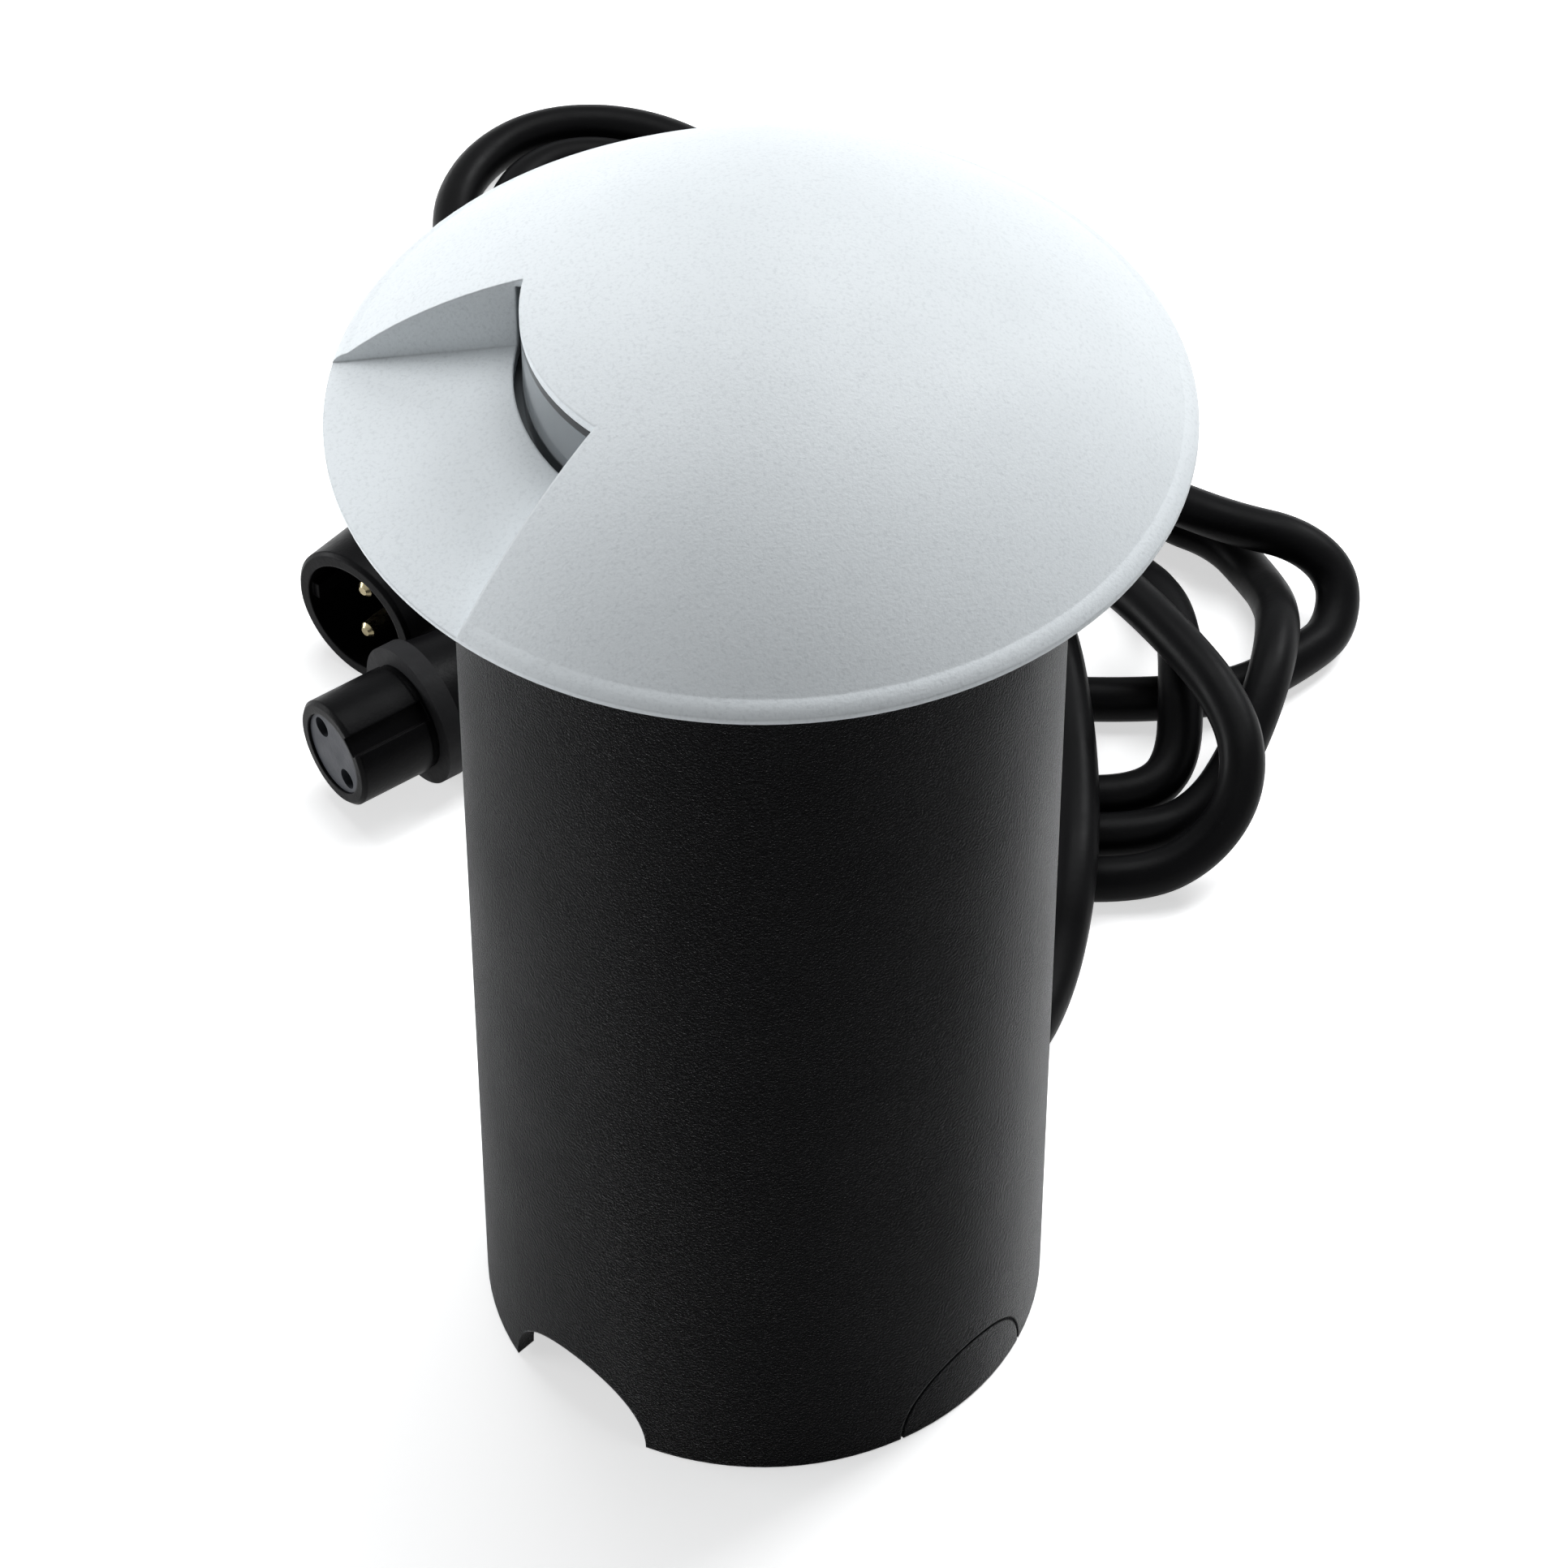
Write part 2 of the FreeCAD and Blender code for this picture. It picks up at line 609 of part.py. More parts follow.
def screw(name, head, head_height, shank, length, foot, head_down=False):
    """A pan-head screw with a round drive recess, built upwards from its foot."""
    recess = f"{head} * 0.45"
    head_top = f"{foot} + {length} + {head_height}"
    if head_down:
        neck = f"{foot} + {head_height}"
        corners = [
            ("0", f"{foot} + {head_height} * 0.5"),
            (recess, f"{foot} + {head_height} * 0.5"),
            (recess, foot),
            (head, foot),
            (head, neck),
            (shank, neck),
            (shank, f"{neck} + {length}"),
            ("0", f"{neck} + {length}"),
        ]
    else:
        neck = f"{foot} + {length}"
        corners = [
            ("0", foot),
            (shank, foot),
            (shank, neck),
            (head, neck),
            (head, head_top),
            (recess, head_top),
            (recess, f"{neck} + {head_height} * 0.5"),
            ("0", f"{neck} + {head_height} * 0.5"),
        ]
    return turned_body(name, corners)


def light_source():
    wire_way = [("-Sizes.wireCircle", "0", "Sizes.wireWay")]
    spots = around("Sizes.boardScrewCircle", 2, "90")
    clearance = "Sizes.screwShank + Sizes.screwGap"
    screw_holes = [(x, y, clearance) for x, y in spots]
    spreader_radius = f"({SPREADER_BORE} - Sizes.seatGap)"
    board_radius = f"({spreader_radius} - Sizes.boardInset)"
    spreader = turned_body("heat_spreader", [
        ("0", SPREADER_LEVEL),
        (spreader_radius, SPREADER_LEVEL),
        (spreader_radius, BOARD_FOOT),
        ("0", BOARD_FOOT),
    ])
    drill(spreader, "SpreaderHoles", wire_way + screw_holes)
    board = turned_body("led_board", [
        ("0", BOARD_FOOT),
        (board_radius, BOARD_FOOT),
        (board_radius, BOARD_TOP),
        ("0", BOARD_TOP),
    ])
    drill(board, "BoardHoles", wire_way + screw_holes)
    screws = []
    for number, (x, y) in enumerate(spots, start=1):
        length = "(Sizes.boardThickness + Sizes.spreaderThickness - 1)"
        foot = f"{BOARD_TOP} - {length}"
        shape = ("Sizes.screwHead", "Sizes.screwHeadHeight", "Sizes.screwShank")
        item = screw(f"BoardScrew{number}", *shape, length, foot)
        place(item, x, y)
        screws.append(item)
    group("led_board_screws", screws)
    emitters = []
    circle = around("Sizes.emitterCircle", 6, "Sizes.emitterTurn")
    for number, (x, y) in enumerate(circle, start=1):
        chip = doc.addObject("Part::Box", f"Emitter{number}")
        chip.setExpression("Length", "Sizes.emitterSide")
        chip.setExpression("Width", "Sizes.emitterSide")
        chip.setExpression("Height", "Sizes.emitterHeight")
        place(chip, f"{x} - Sizes.emitterSide / 2", f"{y} - Sizes.emitterSide / 2", BOARD_TOP)
        emitters.append(chip)
    group("led_emitters", emitters)


def reflector_cone():
    edge = f"({LENS} - Sizes.lensWall - Sizes.reflectorGap)"
    rim_foot = f"{LENS_CEILING} - Sizes.reflectorRim"
    tip = f"{LENS_CEILING} - Sizes.reflectorDrop"
    corners = [
        ("0", tip),
        ("Sizes.reflectorTip", tip),
        (f"{edge} - 1.7", rim_foot),
        (edge, rim_foot),
        (edge, LENS_CEILING),
        ("0", LENS_CEILING),
    ]
    turned_body("reflector_cone", corners, {1: "-Sizes.reflectorSweep"})


def driver():
    edge = f"({HOUSING_BORE} - Sizes.driverGap)"
    corners = [
        ("0", DRIVER_FOOT),
        (edge, DRIVER_FOOT),
        (edge, DRIVER_LEVEL),
        ("0", DRIVER_LEVEL),
    ]
    turned_body("driver_board", corners)
    ring_foot = f"{DRIVER_FOOT} - Sizes.clampRingHeight"
    ring_outer = f"{HOUSING_BORE} - Sizes.screwGap"
    ring_inner = f"{HOUSING_BORE} - Sizes.clampRingWidth"
    turned_body("driver_retaining_ring", ring_corners(ring_inner, ring_outer, ring_foot, DRIVER_FOOT))
    turns = ["Sizes.capacitorTurn", "Sizes.capacitorTurn + Sizes.capacitorSpread"]
    spots = [at_angle("Sizes.capacitorCircle", turn) for turn in turns]
    group("driver_capacitors", [capacitor(number, *spot) for number, spot in enumerate(spots, 1)])
    inductor()
    rectifier = doc.addObject("Part::Box", "driver_rectifier")
    rectifier.Label = "driver_rectifier"
    rectifier.setExpression("Length", "Sizes.rectifierLong")
    rectifier.setExpression("Width", "Sizes.rectifierWide")
    rectifier.setExpression("Height", "Sizes.rectifierHigh")
    x, y = at_angle("Sizes.rectifierCircle", "Sizes.rectifierTurn")
    corner = (f"{x} - Sizes.rectifierLong / 2", f"{y} - Sizes.rectifierWide / 2")
    place(rectifier, *corner, f"{DRIVER_FOOT} - Sizes.rectifierHigh")
    nodes.append(rectifier)
    for name, side in (("led_wire_positive", ""), ("led_wire_negative", "-")):
        height = f"{BOARD_TOP} + 0.8 - {DRIVER_LEVEL}"
        offset = f"{side}1.5 * Sizes.wireRadius"
        spot = ("-Sizes.wireCircle", offset, DRIVER_LEVEL)
        cylinder(name, "Sizes.wireRadius", height, *spot)


def capacitor(number, x, y):
    foot = f"{DRIVER_FOOT} - Sizes.capacitorHeight"
    crimp = "Sizes.capacitorRadius * 0.9"
    corners = [
        ("0", foot),
        (crimp, foot),
        ("Sizes.capacitorRadius", f"{foot} + Sizes.capacitorRadius * 0.1"),
        ("Sizes.capacitorRadius", f"{DRIVER_FOOT} - Sizes.capacitorHeight * 0.22"),
        (crimp, f"{DRIVER_FOOT} - Sizes.capacitorHeight * 0.17"),
        ("Sizes.capacitorRadius", f"{DRIVER_FOOT} - Sizes.capacitorHeight * 0.12"),
        ("Sizes.capacitorRadius", DRIVER_FOOT),
        ("0", DRIVER_FOOT),
    ]
    item = turned_body(f"Capacitor{number}", corners)
    place(item, x, y)
    return item


def inductor():
    foot = f"{DRIVER_FOOT} - Sizes.inductorHeight"
    corners = [
        ("0", foot),
        ("Sizes.inductorRadius", foot),
        ("Sizes.inductorRadius", f"{foot} + 1.4"),
        ("Sizes.inductorWaist", f"{foot} + 1.4"),
        ("Sizes.inductorWaist", f"{DRIVER_FOOT} - 1.4"),
        ("Sizes.inductorRadius", f"{DRIVER_FOOT} - 1.4"),
        ("Sizes.inductorRadius", DRIVER_FOOT),
        ("0", DRIVER_FOOT),
    ]
    place(turned_body("driver_inductor", corners), *at_angle("Sizes.inductorCircle", "Sizes.inductorTurn"))


def bottom_cover():
    spigot = f"({HOUSING_BORE} - Sizes.spigotGap)"
    spigot_top = f"{HOUSING_FOOT} + Sizes.spigotHeight - Sizes.coverGasket"
    corners = [
        ("0", COVER_FOOT),
        (HOUSING, COVER_FOOT),
        (HOUSING, COVER_TOP),
        (spigot, COVER_TOP),
        (spigot, spigot_top),
        (f"{spigot} - 3", spigot_top),
        (f"{spigot} - 3", COVER_TOP),
        ("0", COVER_TOP),
    ]
    body = turned_body("bottom_cover", corners)
    gland_hole = "Sizes.glandUpperStem + Sizes.screwGap"
    holes = cover_holes("Sizes.screwShank + Sizes.screwGap")
    drill(body, "CoverHoles", holes + [(x, y, gland_hole) for x, y in GLANDS])
    sink_depth = "(Sizes.screwHeadHeight + 0.2)"
    heads = cover_holes("Sizes.coverScrewHead + Sizes.screwGap")
    sink(body, "HeadSinks", f"{COVER_FOOT} + {sink_depth}", sink_depth, circles=heads)
    seal = turned_body("bottom_cover_seal", ring_corners(
        f"{HOUSING_BORE} + 0.1", f"{HOUSING} - 0.1", COVER_TOP, HOUSING_FOOT))
    drill(seal, "SealHoles", holes)
    screws = []
    for number, (x, y) in enumerate(cover_spots(), start=1):
        shape = ("Sizes.coverScrewHead", "Sizes.screwHeadHeight", "Sizes.screwShank")
        length = "Sizes.coverScrewLength - Sizes.screwHeadHeight - 1"
        foot = f"{COVER_FOOT} + 0.2"
        item = screw(f"CoverScrew{number}", *shape, length, foot, head_down=True)
        place(item, x, y)
        screws.append(item)
    group("bottom_cover_screws", screws)


def gland(side, x, y):
    cable_bore = "(Sizes.cableRadius + Sizes.cableGap)"
    seal_bore = "(Sizes.glandSealRadius + Sizes.screwGap)"
    stem_foot = f"({HEX_FOOT} - Sizes.glandStemDepth + Sizes.cableGap)"
    seal_top = f"({HEX_FOOT} - Sizes.cableGap)"
    upper_top = f"{COVER_TOP} + 1.8"
    body = turned_body(f"{side}_gland_body", [
        (seal_bore, stem_foot),
        ("Sizes.glandStem", stem_foot),
        ("Sizes.glandStem", COVER_FOOT),
        ("Sizes.glandUpperStem", COVER_FOOT),
        ("Sizes.glandUpperStem", upper_top),
        (cable_bore, upper_top),
        (cable_bore, seal_top),
        (seal_bore, seal_top),
    ])
    hexagon = around("Sizes.glandHex", 6)
    hole = [("0", "0", cable_bore)]
    pad(body, f"Hexagon_{side}", HEX_FOOT, "Sizes.glandHexHeight", hexagon, hole)
    place(body, x, y)
    lip_top = f"({NUT_FOOT} + Sizes.glandNutLip)"
    seal = ring_corners("Sizes.cableRadius + 0.05", "Sizes.glandSealRadius", lip_top, seal_top)
    place(turned_body(f"{side}_gland_seal", seal), x, y)
    nut_bore = "Sizes.glandStem + Sizes.screwGap"
    nut_top = f"({HEX_FOOT} - Sizes.cableGap)"
    nut = turned_body(f"{side}_gland_nut", [
        (cable_bore, NUT_FOOT),
        ("Sizes.glandNutRadius - 0.6", NUT_FOOT),
        ("Sizes.glandNutRadius", f"{NUT_FOOT} + 0.6"),
        ("Sizes.glandNutRadius", nut_top),
        (nut_bore, nut_top),
        (nut_bore, lip_top),
        (cable_bore, lip_top),
    ])
    flute = drill(nut, f"Flute_{side}", [("Sizes.glandNutRadius + 0.15", "0", "0.5")])
    polar_pattern(nut, f"Flutes_{side}", flute, "14")
    place(nut, x, y)
    cylinder(f"{side}_lead_tail", "Sizes.cableRadius", "Sizes.tailLength", x, y, NUT_FOOT)
    cores = []
    for number, way in enumerate(("-", ""), start=1):
        foot = f"{NUT_FOOT} + Sizes.tailLength"
        spot = (f"{x} {way or '+'} 1.5 * Sizes.wireRadius", y, foot)
        item = cylinder(f"Core_{side}_{number}", "Sizes.wireRadius", "0", *spot)
        item.setExpression("Height", f"{DRIVER_FOOT} - {NUT_FOOT} - Sizes.tailLength")
        cores.append(item)
    group(f"{side}_cores", cores)


def rounded_route(points):
    """Straight runs joined by tangent arcs, and the least radius among the arcs."""
    corners = [Vector(*point) for point in points]
    edges = []
    radii = []
    here = corners[0]
    for before, corner, after in zip(corners, corners[1:], corners[2:]):
        back = before - corner
        ahead = after - corner
        reach = ARC_SHARE * min(back.Length, ahead.Length)
        half_turn = (math.pi - back.getAngle(ahead)) / 2
        radius = reach / math.tan(half_turn)
        back.normalize()
        ahead.normalize()
        start = corner + back * reach
        end = corner + ahead * reach
        inwards = (back + ahead).normalize()
        middle = corner + inwards * (radius / math.cos(half_turn) - radius)
        edges.append(Part.LineSegment(here, start).toShape())
        edges.append(Part.Arc(start, middle, end).toShape())
        radii.append(radius)
        here = end
    edges.append(Part.LineSegment(here, corners[-1]).toShape())
    return Part.Wire(edges), min(radii)


def whole_route(gland_spot, points):
    """A lead's route with its two points straight below the gland."""
    x, y = (value(coordinate) for coordinate in gland_spot)
    top = value(NUT_FOOT)
    return [(x, y, top), (x, y, top - value("Sizes.leadDrop"))] + points


def cable(name, points):
    path, least_radius = rounded_route(points)
    start = Vector(*points[0])
    way = Vector(*points[1]) - start
    section = Part.Wire([Part.makeCircle(value("Sizes.cableRadius"), start, way)])
    item = doc.addObject("Part::Feature", name)
    item.Label = name
    item.Shape = path.makePipeShell([section], True, False)
    nodes.append(item)
    ideal = math.pi * value("Sizes.cableRadius") ** 2 * path.Length
    print(name, "length", round(path.Length, 1), "least radius", round(least_radius, 1))
    print(name, "volume against section times length", round(item.Shape.Volume / ideal, 4))
    spots = path.discretize(Distance=2.0)
    return [(index, spot) for index, spot in enumerate(spots)]


def print_gaps(first, second):
    """The least gap of each cable to itself and of the two to each other."""
    width = 2 * value("Sizes.cableRadius")
    own = []
    for spots in (first, second):
        pairs = [a.distanceToPoint(b) for i, a in spots for j, b in spots if j - i > 9]
        own.append(round(min(pairs) - width, 2))
    between = min(a.distanceToPoint(b) for _, a in first for _, b in second)
    print("cable gaps: outlet, inlet, between", *own, round(between - width, 2))


def end_placement(points, roll):
    """Local +Z runs on from the cable's end, along the ground."""
    last = Vector(*points[-1])
    way = last - Vector(*points[-2])
    heading = math.degrees(math.atan2(way.y, way.x))
    upright = Rotation(Vector(0, 0, 1), heading) * Rotation(Vector(0, 1, 0), 90)
    return Placement(last, upright * Rotation(Vector(0, 0, 1), roll))


def strain_relief(name, root):
    """A tapered sleeve with two bending grooves."""
    length = "Sizes.reliefLength"
    tip = "Sizes.reliefTip"
    flare = f"({root} - {tip})"
    corners = [
        ("0", "0"),
        (tip, "0"),
        (f"{tip} + {flare} * 0.25", f"{length} * 0.25"),
        (f"{tip} - 0.1", f"{length} * 0.32"),
        (f"{tip} - 0.1", f"{length} * 0.42"),
        (f"{tip} + {flare} * 0.45", f"{length} * 0.45"),
        (f"{tip} + {flare} * 0.6", f"{length} * 0.6"),
        (f"{tip} + 0.2", f"{length} * 0.66"),
        (f"{tip} + 0.2", f"{length} * 0.76"),
        (f"{tip} + {flare} * 0.8", f"{length} * 0.8"),
        (root, length),
        ("0", length),
    ]
    return turned_body(name, corners)


def plug():
    """The inlet lead's end: a shroud with two pins inside."""
    foot = "Sizes.reliefLength"
    shroud = f"({foot} + Sizes.plugGrip)"
    mouth = f"({shroud} + Sizes.plugShroud)"
    floor = f"({mouth} - Sizes.noseLength)"
    seat = f"({floor} - 3)"
    relief = strain_relief("plug_strain_relief", "Sizes.reliefRoot")
    shell = turned_body("plug_shell", [
        ("0", foot),
        ("Sizes.plugRadius - 1.4", foot),
        ("Sizes.plugRadius - 0.4", f"{foot} + 1.6"),
        ("Sizes.gripWaist", f"{foot} + Sizes.plugGrip * 0.6"),
        ("Sizes.plugRadius", shroud),
        ("Sizes.plugRadius", f"{mouth} - 0.4"),
        ("Sizes.plugRadius - 0.4", mouth),
        ("Sizes.connectorBore", mouth),
        ("Sizes.connectorBore", seat),
        ("0", seat),
    ], {2: "-Sizes.gripSweep", 3: "-Sizes.gripSweep"})
    rib_reach = "(Sizes.connectorBore - Sizes.keyDepth)"
    rib = [
        ("-Sizes.keyWidth / 2", "-(Sizes.connectorBore + 0.6)"),
        ("Sizes.keyWidth / 2", "-(Sizes.connectorBore + 0.6)"),
        ("Sizes.keyWidth / 2", f"-{rib_reach}"),
        ("-Sizes.keyWidth / 2", f"-{rib_reach}"),
    ]
    pad(shell, "KeyRib", floor, "Sizes.noseLength - 0.6", rib)
    spots = around("Sizes.pinOffset", 2)
    insert = turned_body("plug_insert", [
        ("0", seat),
        ("Sizes.connectorBore - 0.1", seat),
        ("Sizes.connectorBore - 0.1", floor),
        ("0", floor),
    ])
    drill(insert, "PinHoles", [(x, y, "Sizes.pinRadius + 0.05") for x, y in spots])
    pins = []
    for number, (x, y) in enumerate(spots, start=1):
        tip = f"({mouth} - Sizes.pinSetback)"
        pin = turned_body(f"Pin{number}", [
            ("0", seat),
            ("Sizes.pinRadius", seat),
            ("Sizes.pinRadius", f"{tip} - 0.4"),
            ("Sizes.pinRadius - 0.4", tip),
            ("0", tip),
        ])
        place(pin, x, y)
        pins.append(pin)
    settle([relief, shell, insert, group("plug_pins", pins)], end_placement(INLET_ROUTE, 0))


def socket():
    """The outlet lead's end: a nose with two contacts that fits the plug's shroud."""
    foot = "Sizes.reliefLength"
    shoulder = f"({foot} + Sizes.socketGrip)"
    nose_foot = f"({shoulder} + Sizes.socketCollar)"
    face = f"({nose_foot} + Sizes.noseLength)"
    core = "(Sizes.noseSize - Sizes.noseWall)"
    relieved = "(Sizes.noseSize - Sizes.noseRelief)"
    relief_end = f"({nose_foot} + Sizes.reliefRun)"
    relief = strain_relief("socket_strain_relief", "Sizes.reliefRoot - 0.5")
    shell = turned_body("socket_shell", [
        ("0", foot),
        ("Sizes.socketRadius - 1.4", foot),
        ("Sizes.socketRadius - 0.6", f"{foot} + 1.6"),
        ("Sizes.gripWaist - 0.2", f"{foot} + Sizes.socketGrip * 0.5"),
        ("Sizes.socketRadius - 0.4", shoulder),
        (relieved, shoulder),
        (relieved, relief_end),
        ("Sizes.noseSize", relief_end),
        ("Sizes.noseSize", f"{face} - 0.4"),
        ("Sizes.noseSize - 0.4", face),
        (core, face),
        (core, shoulder),
        ("0", shoulder),
    ], {2: "-Sizes.gripSweep", 3: "-Sizes.gripSweep"})
    notch_floor = "(Sizes.noseSize - Sizes.keyDepth - 0.1)"
    notch_side = "(Sizes.keyWidth / 2 + 0.15)"
    notch = [
        (f"-{notch_side}", notch_floor),
        (notch_side, notch_floor),
        (notch_side, "Sizes.noseSize + 1"),
        (f"-{notch_side}", "Sizes.noseSize + 1"),
    ]
    sink(shell, "KeyNotch", face, "Sizes.noseLength", notch)
    ring = ring_corners(f"{relieved} + 0.05", "Sizes.socketRadius", shoulder, nose_foot)
    seal = turned_body("socket_seal_ring", ring)
    insert = turned_body("socket_insert", [
        ("0", shoulder),
        (f"{core} - 0.05", shoulder),
        (f"{core} - 0.05", f"{face} - 0.3"),
        ("0", f"{face} - 0.3"),
    ])
    spots = around("Sizes.pinOffset", 2)
    drill(insert, "ContactHoles", [(x, y, "Sizes.pinHoleRadius") for x, y in spots])
    tubes = []
    for number, (x, y) in enumerate(spots, start=1):
        outer = "Sizes.pinHoleRadius - 0.02"
        inner = "Sizes.pinRadius + 0.03"
        tube = turned_body(f"Contact{number}", ring_corners(inner, outer, shoulder, f"{face} - 2.2"))
        place(tube, x, y)
        tubes.append(tube)
    pieces = [relief, shell, seal, insert, group("socket_contacts", tubes)]
    settle(pieces, end_placement(OUTLET_ROUTE, value("Sizes.socketRoll")))


def settle(pieces, spot):
    for piece in pieces:
        piece.Placement = spot


def write_parts():
    doc.recompute()
    os.makedirs("parts", exist_ok=True)
    for node in nodes:
        shape = node.Shape
        faulty = any(word in node.State for word in ("Invalid", "Error"))
        if faulty or shape.isNull() or not shape.isValid():
            raise RuntimeError(f"{node.Label} did not build: {node.State}")
        shape.exportStep(f"parts/{node.Label}.step")
        box = shape.optimalBoundingBox(False)
        print(node.Label, len(shape.Solids), "solids, volume", round(shape.Volume, 1),
              "z", round(box.ZMin, 2), "to", round(box.ZMax, 2))
    print(len(nodes), "nodes")


mounting_sleeve()
cap()
clear_lens()
lamp_housing()
light_source()
reflector_cone()
driver()
bottom_cover()
for lead_side, (gland_x, gland_y) in zip(("outlet", "inlet"), GLANDS):
    gland(lead_side, gland_x, gland_y)
outlet_spots = cable("outlet_cable", whole_route(GLANDS[0], OUTLET_ROUTE))
inlet_spots = cable("inlet_cable", whole_route(GLANDS[1], INLET_ROUTE))
print_gaps(outlet_spots, inlet_spots)
plug()
socket()
write_parts()
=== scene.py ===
import bpy
from mathutils import Matrix, Vector


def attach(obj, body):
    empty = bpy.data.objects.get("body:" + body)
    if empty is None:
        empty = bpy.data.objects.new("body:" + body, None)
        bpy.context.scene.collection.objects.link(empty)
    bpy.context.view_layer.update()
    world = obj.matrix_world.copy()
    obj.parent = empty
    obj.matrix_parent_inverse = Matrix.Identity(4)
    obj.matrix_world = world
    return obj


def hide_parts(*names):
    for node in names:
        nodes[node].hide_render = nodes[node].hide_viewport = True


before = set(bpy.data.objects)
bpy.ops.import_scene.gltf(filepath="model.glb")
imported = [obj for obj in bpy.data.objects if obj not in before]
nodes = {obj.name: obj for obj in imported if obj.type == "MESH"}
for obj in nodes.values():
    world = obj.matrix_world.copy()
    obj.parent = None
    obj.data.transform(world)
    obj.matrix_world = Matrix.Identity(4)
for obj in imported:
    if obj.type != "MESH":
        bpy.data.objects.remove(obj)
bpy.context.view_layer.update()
print("frame loaded")


# materials

def newMaterial(name):
    material = bpy.data.materials.new(name)
    material.use_nodes = True
    tree = material.node_tree
    return material, tree, tree.nodes["Principled BSDF"]


def addPlace(tree):
    # where a point lies on its piece, so that a pattern moves with the piece
    return tree.nodes.new("ShaderNodeTexCoord").outputs["Object"]


def addNoise(tree, place, scale, detail=4.0, roughness=0.55, stretch=None):
    noise = tree.nodes.new("ShaderNodeTexNoise")
    noise.inputs["Scale"].default_value = scale
    noise.inputs["Detail"].default_value = detail
    noise.inputs["Roughness"].default_value = roughness
    if stretch:
        mapping = tree.nodes.new("ShaderNodeMapping")
        mapping.inputs["Scale"].default_value = stretch
        tree.links.new(place, mapping.inputs["Vector"])
        place = mapping.outputs["Vector"]
    tree.links.new(place, noise.inputs["Vector"])
    return noise.outputs["Fac"]


def addRamp(tree, source, settings):
    ramp = tree.nodes.new("ShaderNodeValToRGB")
    colours = (settings["dark"], settings["light"])
    for element, position, colour in zip(ramp.color_ramp.elements, settings["stops"], colours):
        element.position = position
        element.color = (*colour, 1.0)
    tree.links.new(source, ramp.inputs["Fac"])
    return ramp.outputs["Color"]


# most of a noise lies between 0.3 and 0.7
def addRange(tree, source, low, high, start=0.3, end=0.7):
    spread = tree.nodes.new("ShaderNodeMapRange")
    spread.inputs["From Min"].default_value = start
    spread.inputs["From Max"].default_value = end
    spread.inputs["To Min"].default_value = low
    spread.inputs["To Max"].default_value = high
    tree.links.new(source, spread.inputs["Value"])
    return spread.outputs["Result"]


def addBump(tree, shader, source, height, strength, before=None):
    bump = tree.nodes.new("ShaderNodeBump")
    bump.inputs["Distance"].default_value = height
    bump.inputs["Strength"].default_value = strength
    tree.links.new(source, bump.inputs["Height"])
    if before:
        tree.links.new(before, bump.inputs["Normal"])
    tree.links.new(bump.outputs["Normal"], shader.inputs["Normal"])
    return bump.outputs["Normal"]


def addSoftEdges(tree, radius, samples=6):
    bevel = tree.nodes.new("ShaderNodeBevel")
    bevel.samples = samples
    bevel.inputs["Radius"].default_value = radius
    return bevel.outputs["Normal"]


# the mix node has several sockets of one name, so its colour sockets go by number
mixSockets = {"amount": 0, "first": 6, "second": 7, "result": 2}


def addMix(tree, amount, second):
    mix = tree.nodes.new("ShaderNodeMix")
    mix.data_type = "RGBA"
    mix.inputs[mixSockets["second"]].default_value = (*second, 1.0)
    tree.links.new(amount, mix.inputs[mixSockets["amount"]])
    return mix.inputs[mixSockets["first"]], mix.outputs[mixSockets["result"]]


# small grains of a second tone, scattered over the first
def addSpecks(tree, place, colour, settings):
    grains = addNoise(tree, place, settings["scale"], detail=2.0, roughness=0.6)
    low, high = settings["spread"]
    amount = addRange(tree, grains, 0.0, settings["amount"], low, high)
    first, result = addMix(tree, amount, settings["tone"])
    tree.links.new(colour, first)
    return result


grainBase = {"stops": (0.3, 0.7), "smudgeRatio": 2.7, "coarseRatio": 0.35, "coarseShare": 0.6,
             "gloss": 0.5, "sheen": 0.0, "sheenRoughness": 0.5}


# moulded or coated surface: uneven colour, uneven gloss and a fine grain
def grainedMaterial(name, ownSettings):
    settings = {**grainBase, **ownSettings}
    material, tree, shader = newMaterial(name)
    place = addPlace(tree)
    cloud = addNoise(tree, place, settings["cloudScale"], detail=3.0)
    colour = addRamp(tree, cloud, settings)
    if "specks" in settings:
        colour = addSpecks(tree, place, colour, settings["specks"])
    tree.links.new(colour, shader.inputs["Base Color"])
    smudge = addNoise(tree, place, settings["cloudScale"] * settings["smudgeRatio"])
    low, high = settings["roughness"]
    tree.links.new(addRange(tree, smudge, low, high), shader.inputs["Roughness"])
    edges = addSoftEdges(tree, settings["softEdge"]) if "softEdge" in settings else None
    coarse = addNoise(tree, place, settings["grainScale"] * settings["coarseRatio"], detail=2.0)
    fine = addNoise(tree, place, settings["grainScale"], detail=3.0, roughness=0.6)
    coarseStrength = settings["strength"] * settings["coarseShare"]
    first = addBump(tree, shader, coarse, settings["grainHeight"], coarseStrength, edges)
    addBump(tree, shader, fine, settings["grainHeight"], settings["strength"], first)
    shader.inputs["Specular IOR Level"].default_value = settings["gloss"]
    shader.inputs["Sheen Weight"].default_value = settings["sheen"]
    shader.inputs["Sheen Roughness"].default_value = settings["sheenRoughness"]
    return material


def dress(material, slotName, *names):
    for name in names:
        piece = nodes[name]
        piece.data.materials.clear()
        piece.data.materials.append(material)


